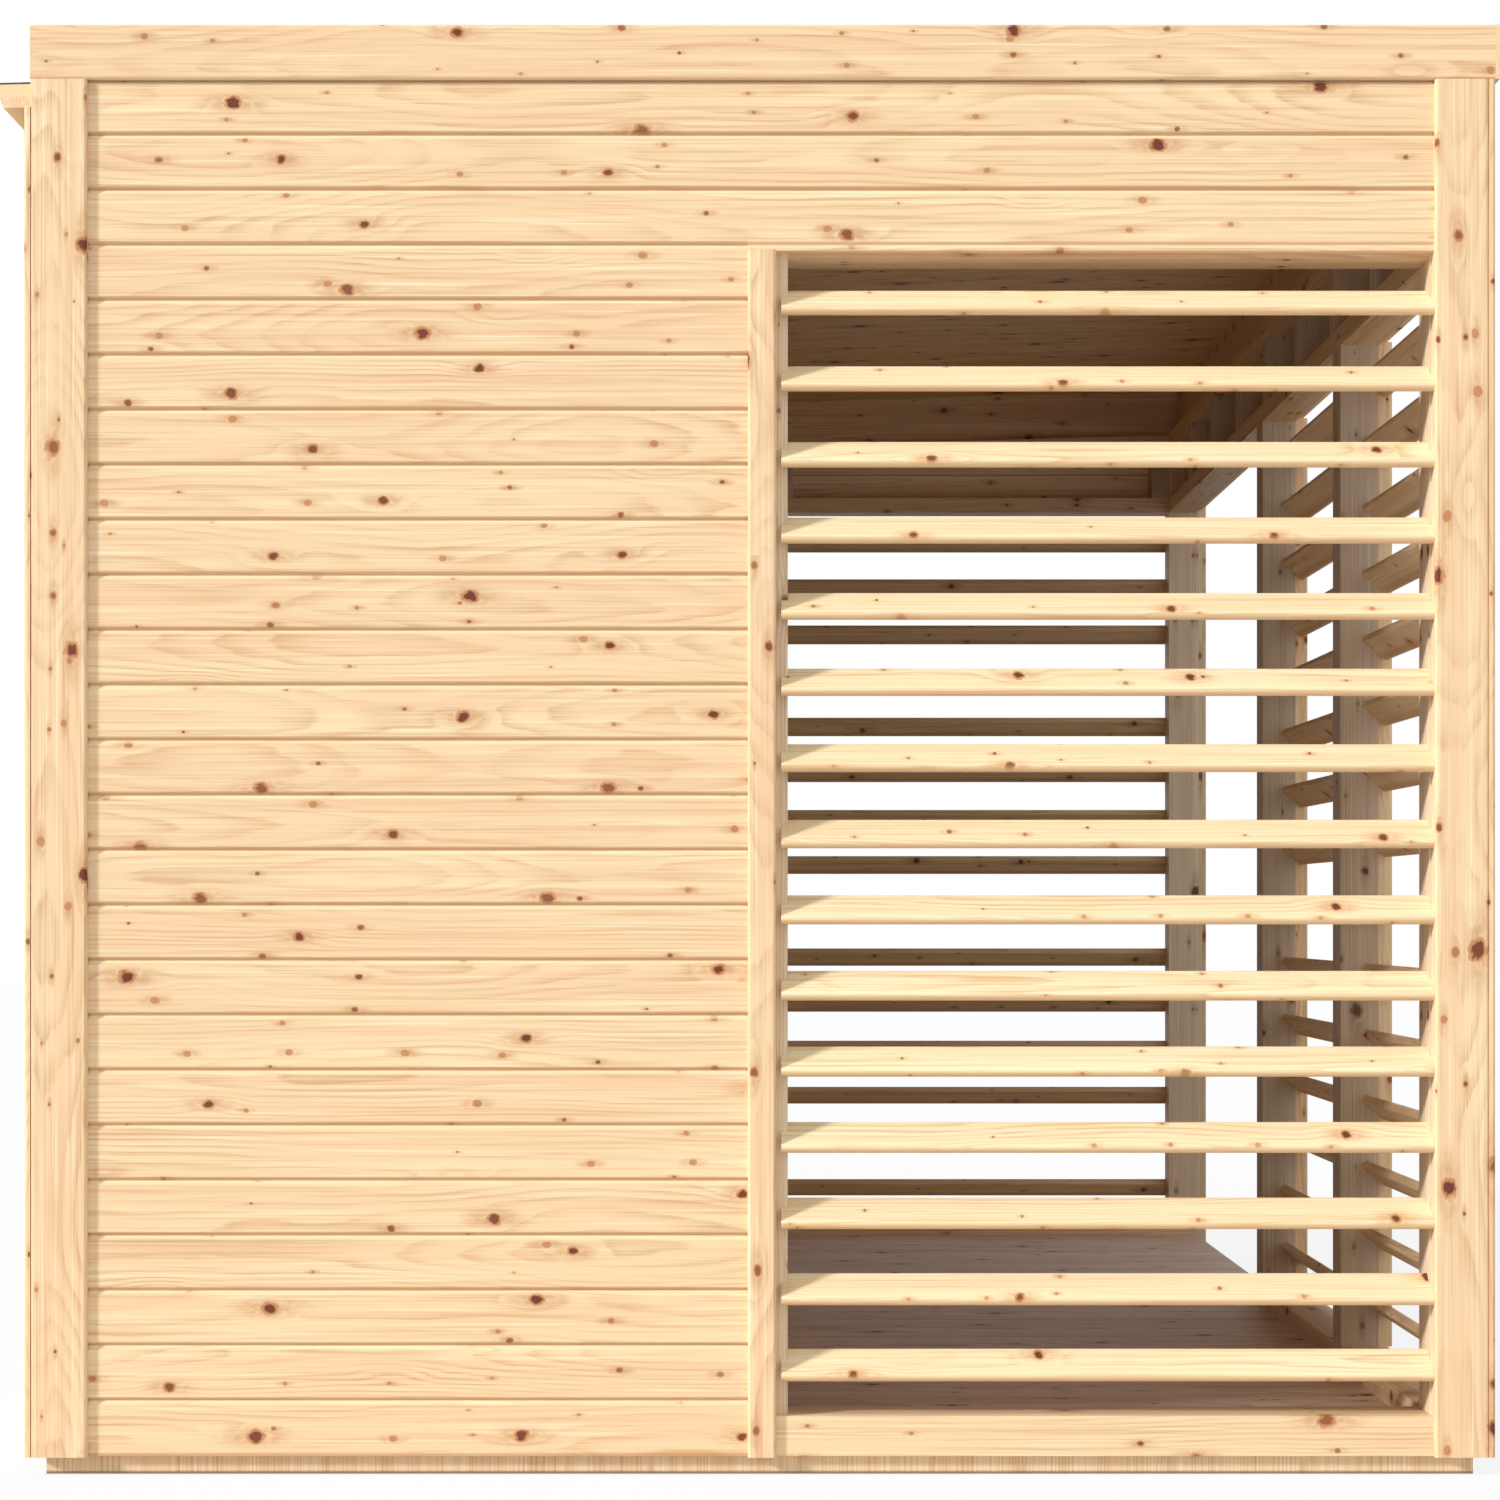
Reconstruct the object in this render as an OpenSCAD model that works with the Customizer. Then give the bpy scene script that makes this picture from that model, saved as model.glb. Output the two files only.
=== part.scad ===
// Garden pavilion with boarded walls, fixed louvre bays and an open doorway.
// The long axis, from back to front, is X and the doorway faces +X. Millimetres, Z up.
// The origin is on the ground under the middle of the whole building.

/* [Plan] */
// Length over the wall boards, from the back wall to the front wall
body_x = 2328; // [2000:1:3200]
// Width over the wall boards, from the near side to the far side
body_y = 2980; // [2700:1:4200]
// Clear width of the louvre bay in each side wall
side_bay = 1030; // [500:1:1300]
// Clear width of the front louvre bay beside the corner
corner_bay = 621; // [300:1:800]
// Clear width of the front louvre bay beside the doorway
middle_bay = 737; // [300:1:900]

/* [Heights] */
// Underside of the heads over the doorway and the louvre bays, above the ground
head_z = 1950; // [1700:1:2400]
// Height from those heads up to the roof deck at the eave
header_h = 255; // [235:1:500]
// Lower edge of the wall boards above the ground
boards_z = 32; // [10:1:38]
// How far the trims reach below the wall boards
trim_drop = 1; // [0:1:10]
// How far the boards over an opening stop above its head
head_reveal = 9; // [4:1:20]

/* [Wall boards] */
// Thickness of the tongued and grooved boards
board_t = 19; // [15:1:28]
// Face width that each board covers
board_cover = 88; // [70:1:140]
// Width of the V joint between two boards
joint_w = 13; // [4:1:16]
// Depth of the V joint between two boards
joint_d = 5; // [2:0.5:6]
// How far the boards stop below the top of the fascia
boards_drop = 20; // [10:1:26]

/* [Frame] */
// Width of the corner, bay and door posts along the wall
post_w = 70; // [55:1:100]
// Depth of every wall frame piece, through the wall
frame_d = 70; // [60:1:100]
// Width of studs, rafters, roof beams, bearers and joists
stud_w = 45; // [35:1:60]
// Thickness of sole plates, top plates and head rails
plate_t = 38; // [30:1:50]
// Widest spacing of the wall studs
stud_pitch = 600; // [400:1:800]
// Widest spacing of the short studs over the doorway
header_pitch = 360; // [250:1:600]

/* [Floor] */
// Height of the bearers that lie on the ground
bearer_h = 40; // [40:1:100]
// Widest spacing of the cross joists
joist_pitch = 450; // [300:1:600]
// Thickness of the floor boards
floor_t = 18; // [16:1:28]
// Face width of one floor board
plank_cover = 120; // [90:1:160]
// Width of the V joint in floor and roof boards
plank_joint_w = 5; // [3:1:8]
// Depth of the V joint in floor and roof boards
plank_joint_d = 3; // [2:0.5:5]

/* [Trims] */
// Thickness of trims and fascias in front of the boards
trim_t = 10; // [8:1:20]
// Face width of a corner trim
corner_trim_w = 90; // [80:1:120]
// Face width of the front corner trims on the side walls
front_trim_w = 86; // [76:1:120]
// Face width of the trim over a bay post
bay_trim_w = 45; // [30:1:50]
// How far the trim on a side wall stops short of the louvre bay
bay_trim_setback = 19; // [14:1:24]
// Radius on the long edges of the trims
trim_r = 5; // [1:0.5:7]
// How far the front post covers stop short of a louvre bay
cover_setback = 12.5; // [12:0.5:16]
// Height of the fascias
fascia_h = 87; // [60:1:120]
// Length of the fascia's rebate that laps over the front trims
fascia_lap = 20; // [10:1:30]

/* [Louvres] */
// Width of a slat over its rounded nose
slat_w = 61.5; // [50:0.5:75]
// Thickness of a slat
slat_t = 17; // [12:0.5:22]
// Rise of a slat from its nose to its inner edge, in degrees
slat_tilt = 38.8; // [20:0.1:50]
// Vertical spacing of the slats
slat_pitch = 121.8; // [90:0.1:160]
// Gap under the lowest slat
slat_first_gap = 55; // [20:1:90]
// Smallest gap over the highest slat
slat_last_gap = 40; // [20:1:90]
// How far the slat noses stand in front of the wall boards
slat_proud = 6; // [0:0.5:9]
// Radius on the inner edges of a slat
slat_edge_r = 4; // [1:0.5:5]
// Depth of the housings that hold the slat ends
housing_d = 11; // [6:0.5:11]
// Clearance round a slat in its housing
housing_gap = 0.3; // [0.1:0.05:0.5]

/* [Roof] */
// Overhang of the roof deck beyond the back wall boards
eave_out = 52; // [30:1:200]
// Thickness of the roof deck boards
deck_t = 19; // [15:1:28]
// Face width of one roof board, which runs down the slope
deck_cover = 115; // [90:1:160]
// Fall of the roof from the front wall boards to the eave
roof_fall = 65; // [30:1:120]
// Depth of the rafters along the side walls and of the beams between them
rafter_h = 115; // [90:1:120]
// Depth of the level seats cut in the beams over the end walls
beam_seat = 6; // [5:0.5:10]
// Clearance at both ends of those beams
beam_gap = 0.5; // [0.2:0.1:2]
// Thickness of the roofing felt
felt_t = 3; // [2:0.5:5]
// Height of the fascia above the deck at the front wall
parapet_h = 29; // [24:1:60]
// Thickness of the board under the eave
eave_board_t = 18; // [15:1:28]
// How far the lower edge of the eave board slopes back
eave_board_slant = 7; // [0:1:12]

/* [Hidden] */
$fn = 48;

PINE = "#f0d3a0";
PINE_PALE = "#f6deb2";
PINE_EDGE = "#d9b57e";
PINE_INSIDE = "#c8a877";
FELT = "#4a4d4c";

// Levels above the ground
floor_z = bearer_h + floor_t;
sill_z = floor_z + plate_t;
over_head_z = head_z + head_reveal;
eave_z = head_z + header_h;
fascia_top = eave_z + roof_fall + deck_t + parapet_h;
fascia_z = fascia_top - fascia_h;
boards_top = fascia_top - boards_drop;
trim_z = boards_z - trim_drop;
eave_board_z = eave_z - eave_board_t;
// Lowest joint between two full boards above the openings
full_row_z = boards_z + ceil((over_head_z - boards_z) / board_cover) * board_cover;

// Depths into a wall, measured from the face of its boards
frame_in = board_t + frame_d;
trim_out = -trim_t;

// Places along the side walls, measured from the back wall boards
front_frame = body_x - board_t;
side_bay_end = front_frame - post_w;
side_bay_start = side_bay_end - side_bay;
side_bay_post = side_bay_start - post_w;
side_boards_end = side_bay_start - bay_trim_setback;
bay_trim_start = side_boards_end - bay_trim_w;
front_trim_edge = body_x - front_trim_w;

// The middle of the whole building, from the eave to the front fascia
whole_mid_x = (body_x + 2 * trim_t - eave_out) / 2;

// Places along the front wall, measured from the near wall boards
far_frame = body_y - board_t;
corner_bay_end = frame_in + corner_bay;
middle_bay_start = corner_bay_end + post_w;
middle_bay_end = middle_bay_start + middle_bay;
door_start = middle_bay_end + post_w;
door_end = body_y - frame_in;
corner_leg_edge = corner_trim_w - trim_t;

// Slope of the roof
deck_run = front_frame + eave_out;
roof_angle = atan(roof_fall / deck_run);
function deck_under(x) = eave_z + roof_fall * (x + eave_out) / deck_run;
function rafter_under(x) = deck_under(x) - rafter_h;
back_plate_z = rafter_under(board_t) + beam_seat - plate_t;
front_plate_z = rafter_under(side_bay_end) + beam_seat - plate_t;

// Slats
nose_r = slat_t / 2;
slat_reach = slat_w - nose_r;
slat_rise = nose_r + slat_reach * sin(slat_tilt) + nose_r * cos(slat_tilt);
slat_space = head_z - sill_z - slat_first_gap - slat_last_gap - slat_rise;
slat_count = floor(slat_space / slat_pitch) + 1;
slat_depth = nose_r - slat_proud;
slat_zs = [for (i = [0 : slat_count - 1]) sill_z + slat_first_gap + nose_r + i * slat_pitch];

// Centres of pieces no further apart than gap, between two places but not at them
function between(from, to, gap) =
    let (bays = ceil((to - from) / gap))
    [for (i = [1 : 1 : bays - 1]) from + (to - from) * i / bays];

// Joints between boards of one width that lie inside a stretch
function joints(from, to, first, cover, width) =
    [for (at = [first : cover : to]) if (at > from + width && at < to - width) at];

// ---- Placing ----

// A wall is drawn with X along it, Y into it from the face of its boards and Z up
module near_wall() translate([-whole_mid_x, -body_y / 2, 0]) children();
module far_wall() mirror([0, 1, 0]) near_wall() children();
module front_wall() near_wall() translate([body_x, 0, 0]) rotate([0, 0, 90]) children();
module back_wall() near_wall() mirror([1, -1, 0]) children();
module side_walls() {
    near_wall() children();
    far_wall() children();
}

// A timber given by its lowest and highest corners
module timber(low, high) translate(low) cube(high - low);

// Extrudes a section, drawn as depth and height, along a wall
module along_wall(from, to) {
    translate([from, 0, 0]) rotate([90, 0, 90]) linear_extrude(to - from) children();
}

// ---- Profiles ----

// Outer face of V-jointed boards: a list of points up the face
function v_face(at_joints, width, depth) =
    [for (at = at_joints) each [[0, at - width / 2], [depth, at], [0, at + width / 2]]];

// Section through wall boards between two heights, with half joints where boards are split
module board_section(from, to, split_low = false, split_high = false) {
    low = split_low ? [[joint_d, from], [0, from + joint_w / 2]] : [[0, from]];
    high = split_high ? [[0, to - joint_w / 2], [joint_d, to]] : [[0, to]];
    rows = joints(from, to, boards_z, board_cover, joint_w);
    face = concat(low, v_face(rows, joint_w, joint_d), high);
    polygon(concat(face, [[board_t, to], [board_t, from]]));
}

// Section through planks lying flat, drawn as place across them and height, joints on top
module plank_section(from, to, thick) {
    seams = joints(from, to, from + plank_cover, plank_cover, plank_joint_w);
    face = [for (p = v_face(seams, plank_joint_w, plank_joint_d)) [p[1], thick - p[0]]];
    polygon(concat([[from, 0], [from, thick]], face, [[to, thick], [to, 0]]));
}

// Section through a strip with its two face edges rounded, the face on y = 0
module eased_strip(width, thick, radius) {
    translate([0, radius]) square([width, thick - radius]);
    translate([radius, 0]) square([width - 2 * radius, thick]);
    for (x = [radius, width - radius]) translate([x, radius]) circle(r = radius);
}

// Section through a slat, drawn as depth and height from the centre of its nose
module slat_section(gap = 0) {
    r = slat_edge_r;
    rotate(slat_tilt) {
        circle(r = nose_r + gap);
        translate([0, -nose_r - gap]) square([slat_reach - r, slat_t + 2 * gap]);
        translate([0, -nose_r - gap + r]) square([slat_reach + gap, slat_t + 2 * gap - 2 * r]);
        for (y = [nose_r + gap - r, r - nose_r - gap]) {
            translate([slat_reach + gap - r, y]) circle(r = r);
        }
    }
}

// ---- Louvre slats and their housings ----

module slat_row(from, to, gap = 0) {
    along_wall(from, to) for (z = slat_zs) translate([slat_depth, z]) slat_section(gap);
}

// Slats between two posts, which reach into housings in both
module slats(from, to) slat_row(from - housing_d + housing_gap, to + housing_d - housing_gap);

// Housings cut in a post that starts or ends at a louvre bay
module housings(from, to) slat_row(from, to, housing_gap);

// Space in front of a frame, taken by boards and trims, from which slat noses are cut back
module face_notch(from, to) {
    timber([from, -frame_d, 0], [to, board_t + housing_gap, eave_z]);
}

module side_slats() {
    difference() {
        slats(side_bay_start, side_bay_end);
        face_notch(front_trim_edge - housing_gap, body_x);
    }
}

module near_slats() color(PINE) near_wall() side_slats();
module far_slats() color(PINE) far_wall() side_slats();

module front_corner_slats() color(PINE) front_wall() difference() {
    slats(frame_in, corner_bay_end);
    face_notch(0, corner_leg_edge + housing_gap);
}

module front_middle_slats() color(PINE) front_wall() slats(middle_bay_start, middle_bay_end);

// ---- Floor ----

module side_bearers() color(PINE_EDGE) side_walls() {
    timber([board_t, board_t, 0], [front_frame, board_t + stud_w, bearer_h]);
}

module cross_joists() color(PINE_EDGE) near_wall() {
    inner = between(board_t + stud_w / 2, front_frame - stud_w / 2, joist_pitch);
    for (x = concat([board_t + stud_w / 2], inner, [front_frame - stud_w / 2])) {
        low = [x - stud_w / 2, board_t + stud_w, 0];
        timber(low, [x + stud_w / 2, far_frame - stud_w, bearer_h]);
    }
}

module floor_boards() color(PINE_PALE) near_wall() translate([0, 0, bearer_h]) {
    along_wall(board_t, front_frame) plank_section(board_t, far_frame, floor_t);
}

// ---- Wall frames ----

module side_sole_plates() color(PINE_EDGE) side_walls() {
    timber([board_t, board_t, floor_z], [front_frame, frame_in, sill_z]);
}

module end_sole_plates() color(PINE_EDGE) {
    back_wall() timber([frame_in, board_t, floor_z], [door_end, frame_in, sill_z]);
    front_wall() timber([frame_in, board_t, floor_z], [door_start, frame_in, sill_z]);
}

// Everything under the sloping plates of the side walls
module below_side_plates() difference() {
    children();
    sloping_slab(-plate_t, eave_z, 0, body_x, 0, frame_in);
}

// A slab that follows the slope of the rafters' lower edges, from one height above it to another
module sloping_slab(low, high, x0, x1, y0, y1) {
    corners = [[x0, low], [x1, low], [x1, high], [x0, high]];
    outline = [for (p = corners) [p[0], rafter_under(p[0]) + p[1]]];
    translate([0, y1, 0]) rotate([90, 0, 0]) linear_extrude(y1 - y0) polygon(outline);
}

module side_top_plates() color(PINE_INSIDE) side_walls() {
    sloping_slab(-plate_t, 0, board_t, front_frame, board_t, frame_in);
}

module end_top_plates() color(PINE_INSIDE) {
    back_wall() plate_between(back_plate_z);
    front_wall() plate_between(front_plate_z);
}

module plate_between(z) timber([frame_in, board_t, z], [door_end, frame_in, z + plate_t]);

// A post or stud of a side wall, up to its sloping plate
module side_upright(from, to, z = sill_z) below_side_plates() {
    timber([from, board_t, z], [to, frame_in, fascia_top]);
}

module back_corner_posts() color(PINE_INSIDE) side_walls() {
    side_upright(board_t, board_t + post_w);
}

module front_corner_posts() color(PINE_EDGE) {
    near_wall() difference() {
        side_upright(side_bay_end, front_frame);
        housings(side_bay_end - housing_gap, side_bay_end + housing_d);
        translate([body_x, 0, 0]) rotate([0, 0, 90]) {
            housings(frame_in - housing_d, frame_in + housing_gap);
        }
    }
    far_wall() difference() {
        side_upright(side_bay_end, front_frame);
        housings(side_bay_end - housing_gap, side_bay_end + housing_d);
    }
}

module side_bay_posts() color(PINE_EDGE) side_walls() difference() {
    side_upright(side_bay_post, side_bay_start);
    housings(side_bay_start - housing_d, side_bay_start + housing_gap);
}

module side_studs() color(PINE_INSIDE) side_walls() {
    for (x = between(board_t + post_w / 2, side_bay_post + post_w / 2, stud_pitch)) {
        side_upright(x - stud_w / 2, x + stud_w / 2);
    }
}

// Short studs at both ends of the header over a louvre bay
module side_header_studs() color(PINE_INSIDE) side_walls() {
    for (x = [side_bay_start, side_bay_end - stud_w]) {
        side_upright(x, x + stud_w, head_z + plate_t);
    }
}

module back_studs() color(PINE_INSIDE) back_wall() {
    for (y = between(frame_in, door_end, stud_pitch)) {
        timber([y - stud_w / 2, board_t, sill_z], [y + stud_w / 2, frame_in, back_plate_z]);
    }
}

module front_header_studs() color(PINE_INSIDE) front_wall() {
    for (y = between(frame_in, door_end, header_pitch)) {
        low = [y - stud_w / 2, board_t, head_z + plate_t];
        timber(low, [y + stud_w / 2, frame_in, front_plate_z]);
    }
}

module louvre_post() color(PINE_EDGE) front_wall() difference() {
    timber([corner_bay_end, board_t, sill_z], [middle_bay_start, frame_in, head_z]);
    housings(corner_bay_end - housing_gap, corner_bay_end + housing_d);
    housings(middle_bay_start - housing_d, middle_bay_start + housing_gap);
}

module door_post() color(PINE_EDGE) front_wall() difference() {
    timber([middle_bay_end, board_t, sill_z], [door_start, frame_in, head_z]);
    housings(middle_bay_end - housing_gap, middle_bay_end + housing_d);
}

module side_head_rails() color(PINE_EDGE) side_walls() {
    timber([side_bay_start, board_t, head_z], [side_bay_end, frame_in, head_z + plate_t]);
}

module front_head_rail() color(PINE_EDGE) front_wall() {
    timber([frame_in, board_t, head_z], [door_end, frame_in, head_z + plate_t]);
}

// ---- Wall boards ----

module side_wall_boards() {
    along_wall(0, bay_trim_start) board_section(boards_z, full_row_z, split_high = true);
    along_wall(bay_trim_start, side_boards_end) board_section(boards_z, over_head_z);
}

module side_top_boards() {
    along_wall(0, bay_trim_start) board_section(full_row_z, boards_top, split_low = true);
    along_wall(bay_trim_start, body_x) board_section(over_head_z, boards_top);
}

module side_sill_board() along_wall(side_boards_end, body_x) board_section(boards_z, sill_z);

module near_wall_boards() color(PINE) near_wall() side_wall_boards();
module near_top_boards() color(PINE) near_wall() side_top_boards();
module near_sill_board() color(PINE) near_wall() side_sill_board();
module far_wall_boards() color(PINE) far_wall() side_wall_boards();
module far_top_boards() color(PINE) far_wall() side_top_boards();
module far_sill_board() color(PINE) far_wall() side_sill_board();

module back_wall_boards() color(PINE) back_wall() {
    along_wall(board_t, far_frame) board_section(boards_z, deck_under(0));
}

module front_top_boards() color(PINE) front_wall() {
    along_wall(board_t, far_frame) board_section(over_head_z, boards_top);
}

module front_sill_board() color(PINE) front_wall() {
    along_wall(board_t, door_start) board_section(boards_z, sill_z);
}

// Packers as thick as the boards, which carry the corner trims beside the openings
module front_corner_packers() color(PINE) {
    near_wall() corner_packer(sill_z);
    far_wall() corner_packer(boards_z);
}

module corner_packer(front_z) {
    timber([front_trim_edge, 0, sill_z], [body_x, board_t, over_head_z]);
    timber([front_frame, board_t, front_z], [body_x, corner_leg_edge, over_head_z]);
}

// ---- Trims ----

// Corner trim: a strip on the side wall and one on the end wall that laps its edge
module corner_trim(top, side_w) translate([0, 0, trim_z]) linear_extrude(top - trim_z) {
    translate([0, trim_out]) eased_strip(side_w, trim_t, trim_r);
    translate([trim_out, corner_leg_edge]) rotate(-90) {
        eased_strip(corner_trim_w, trim_t, trim_r);
    }
}

// The back strip stops under the eave board
module back_trim() difference() {
    corner_trim(fascia_z, corner_trim_w);
    timber([-eave_out, trim_out * 2, eave_board_z], [0, corner_trim_w, fascia_top]);
}

// The side strip stops under the side fascia, the front one runs up behind the front fascia
module front_trim() translate([body_x, 0, 0]) mirror([1, 0, 0]) {
    corner_trim(fascia_z, front_trim_w);
    translate([trim_out, 0, fascia_z]) cube([trim_t, corner_leg_edge, fascia_lap]);
}

module near_back_trim() color(PINE_PALE) near_wall() back_trim();
module far_back_trim() color(PINE_PALE) far_wall() back_trim();
module near_front_trim() color(PINE_PALE) near_wall() front_trim();
module far_front_trim() color(PINE_PALE) far_wall() front_trim();

module side_bay_trims() color(PINE_PALE) side_walls() {
    translate([bay_trim_start, trim_out, trim_z]) {
        linear_extrude(over_head_z - trim_z) eased_strip(bay_trim_w, trim_t, trim_r);
    }
}

// Covers on the front posts, as thick as the boards and trims together
module front_post_covers() color(PINE_PALE) front_wall() {
    post_cover(corner_bay_end + cover_setback, middle_bay_start - cover_setback);
    post_cover(middle_bay_end + cover_setback, door_start);
}

module post_cover(from, to) translate([from, trim_out, sill_z]) {
    linear_extrude(over_head_z - sill_z) eased_strip(to - from, board_t + trim_t, trim_r);
}

// ---- Roof ----

// A piece of the roof frame between two places, up to the underside of the deck
module roof_timber(x, y0, y1, length = stud_w) sloping_slab(0, rafter_h, x, x + length, y0, y1);

// A level seat where a beam bears on an end plate
module plate_seat(from, z) timber([from, frame_in, 0], [from + frame_d, door_end, z + plate_t]);

// Rafters along the side walls, with beams between them over the end walls and the bay posts
module rafters() color(PINE_INSIDE) near_wall() {
    for (y = [board_t, far_frame - stud_w]) {
        roof_timber(board_t, y, y + stud_w, front_frame - board_t);
    }
    middle_beam = side_bay_post + (post_w - stud_w) / 2;
    beam_start = board_t + stud_w + beam_gap;
    difference() {
        for (x = [board_t, middle_beam, front_frame - stud_w]) {
            roof_timber(x, beam_start, body_y - beam_start);
        }
        plate_seat(board_t, back_plate_z);
        plate_seat(side_bay_end, front_plate_z);
    }
}

// A layer on the slope of the roof, between two heights above the deck's underside
module roof_layer(low, high) {
    sloping_slab(rafter_h + low, rafter_h + high, -eave_out, front_frame, board_t, far_frame);
    sloping_slab(rafter_h + low, rafter_h + high, -eave_out, 0, 0, body_y);
}

module roof_deck() color(PINE_INSIDE) near_wall() difference() {
    roof_layer(0, deck_t);
    for (y = joints(frame_in, door_end, board_t + deck_cover, deck_cover, plank_joint_w)) {
        translate([frame_in, y, deck_under(frame_in)]) deck_joint();
    }
}

// V joint cut down the slope in the underside of the deck
module deck_joint() rotate([0, -roof_angle, 0]) rotate([90, 0, 90]) {
    half = plank_joint_w / 2;
    outline = [[-half, 0], [0, plank_joint_d], [half, 0], [0, -plank_joint_d]];
    linear_extrude((side_bay_end - frame_in) / cos(roof_angle)) polygon(outline);
}

module roof_felt() color(FELT) near_wall() roof_layer(deck_t, deck_t + felt_t);

// Board under the overhang of the deck, its lower edge sloped back
module eave_board() color(PINE_EDGE) near_wall() {
    outline = [
        [-eave_out, deck_under(-eave_out)], [0, deck_under(0)],
        [0, deck_under(0) - eave_board_t], [eave_board_slant - eave_out, eave_board_z],
    ];
    translate([0, body_y, 0]) rotate([90, 0, 0]) linear_extrude(body_y) polygon(outline);
}

module side_fascias() color(PINE_PALE) side_walls() {
    along_wall(0, body_x + trim_t) translate([trim_out, fascia_top]) rotate(-90) {
        eased_strip(fascia_h, trim_t, trim_r);
    }
}

// The front fascia is rebated at its lower edge and its ends, over the trims and side fascias
module front_fascia() color(PINE_PALE) front_wall() {
    along_wall(trim_out, body_y + trim_t) translate([2 * trim_out, fascia_top]) rotate(-90) {
        eased_strip(fascia_h, trim_t, trim_r);
    }
    timber([0, trim_out, fascia_z + fascia_lap], [body_y, 0, fascia_top]);
}

side_bearers();
cross_joists();
floor_boards();
side_sole_plates();
end_sole_plates();
side_top_plates();
end_top_plates();
back_corner_posts();
front_corner_posts();
side_bay_posts();
side_studs();
back_studs();
louvre_post();
door_post();
side_head_rails();
front_head_rail();
side_header_studs();
front_header_studs();
near_wall_boards();
near_top_boards();
near_sill_board();
far_wall_boards();
far_top_boards();
far_sill_board();
back_wall_boards();
front_top_boards();
front_sill_board();
front_corner_packers();
near_slats();
far_slats();
front_corner_slats();
front_middle_slats();
near_back_trim();
near_front_trim();
far_back_trim();
far_front_trim();
side_bay_trims();
front_post_covers();
rafters();
roof_deck();
roof_felt();
eave_board();
side_fascias();
front_fascia();
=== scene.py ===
# %% [markdown]
# # A garden pavilion in planed pine
#
# This lesson dresses a garden pavilion: a small flat-roofed timber room with one half of each
# side wall boarded and the other half left open behind sloping louvre slats. The shapes come
# from a CAD model that is already packed, so the lesson is about finish: how planed pine
# looks, how one recipe serves boards, posts and slats, and how to light pale wood plainly.
#
# The first cell loads the CAD model as a fixed frame. Everything is in metres, X runs towards
# the open front, Y runs away from the near wall and Z is up.

import math

import bpy
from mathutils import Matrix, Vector


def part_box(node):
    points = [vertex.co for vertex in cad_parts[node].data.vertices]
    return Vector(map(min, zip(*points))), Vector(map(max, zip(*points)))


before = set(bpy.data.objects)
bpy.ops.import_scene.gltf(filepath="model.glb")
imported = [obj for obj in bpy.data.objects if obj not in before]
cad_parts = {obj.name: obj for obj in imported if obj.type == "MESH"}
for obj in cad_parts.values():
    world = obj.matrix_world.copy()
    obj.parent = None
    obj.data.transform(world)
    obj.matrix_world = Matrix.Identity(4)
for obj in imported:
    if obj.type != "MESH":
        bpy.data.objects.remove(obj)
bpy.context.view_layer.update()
print("pieces from the CAD model:", len(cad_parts))

# %% [markdown]
# ## Colours and nodes
#
# Colours are written the way a paint or stain chart gives them, as sRGB hex. Blender's
# sockets want linear light, so one function turns one into the other.
#
# A material is a small tree of nodes. Building it by mouse is fine for one finish; here about
# twenty finishes share the same wood recipe, so one small function adds any node, sets its
# properties, and fills or links its inputs. A wire that is a node or a socket is linked, and
# any other value is typed in.


# %% Two helpers
def linear(hex_colour):
    """The linear RGBA of an sRGB hex colour such as #FBDAAD."""
    channels = [int(hex_colour[i : i + 2], 16) / 255 for i in (1, 3, 5)]
    bent = [c / 12.92 if c <= 0.04045 else ((c + 0.055) / 1.055) ** 2.4 for c in channels]
    return (*bent, 1.0)


def add(tree, kind, settings=None, wires=None):
    """Add one node to a tree, with its settings, and link or fill its inputs."""
    made = tree.nodes.new("ShaderNode" + kind)
    for name, value in (settings or {}).items():
        setattr(made, name, value)
    for name, value in (wires or {}).items():
        if isinstance(value, bpy.types.Node):
            value = next(out for out in value.outputs if out.enabled)
        if isinstance(value, bpy.types.NodeSocket):
            tree.links.new(value, made.inputs[name])
        else:
            made.inputs[name].default_value = value
    return made


print("pale pine in linear light:", [round(c, 3) for c in linear("#FBDAAD")])

# %% [markdown]
# ## How pine gets its figure
#
# A pine trunk grows in rings: pale spring wood, then a thin line of darker summer wood. A
# board is a flat cut through those rings, so its lines are simply where the surface crosses
# them. Painting lines on each face would be quick, but they would not meet round a corner.
# Instead the recipe works out, for every point of the timber, how far it lies from the heart
# of its own tree. Long faces then show long lines, a gentle lean of the heart draws pointed
# arches, and the cut ends show arcs, all from one number.
#
# Every board comes from another tree, so the point's place is first turned into board
# number, distance along, distance across and depth. The number seeds a white noise. One of its
# values picks the stretch of trunk that the board was cut from, and three more will move the
# heart sideways and back and tint the board.

# %% Where a point lies in its own board
AXES = {"X": 0, "Y": 1, "Z": 2}
TREE_RUN_M = 40.0  # each board is cut somewhere else along this much timber
FOLD_MM = 60.0  # depth runs back and forth over this much, so no point is far from a heart
NOISE_DETAIL = 2.0


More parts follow.
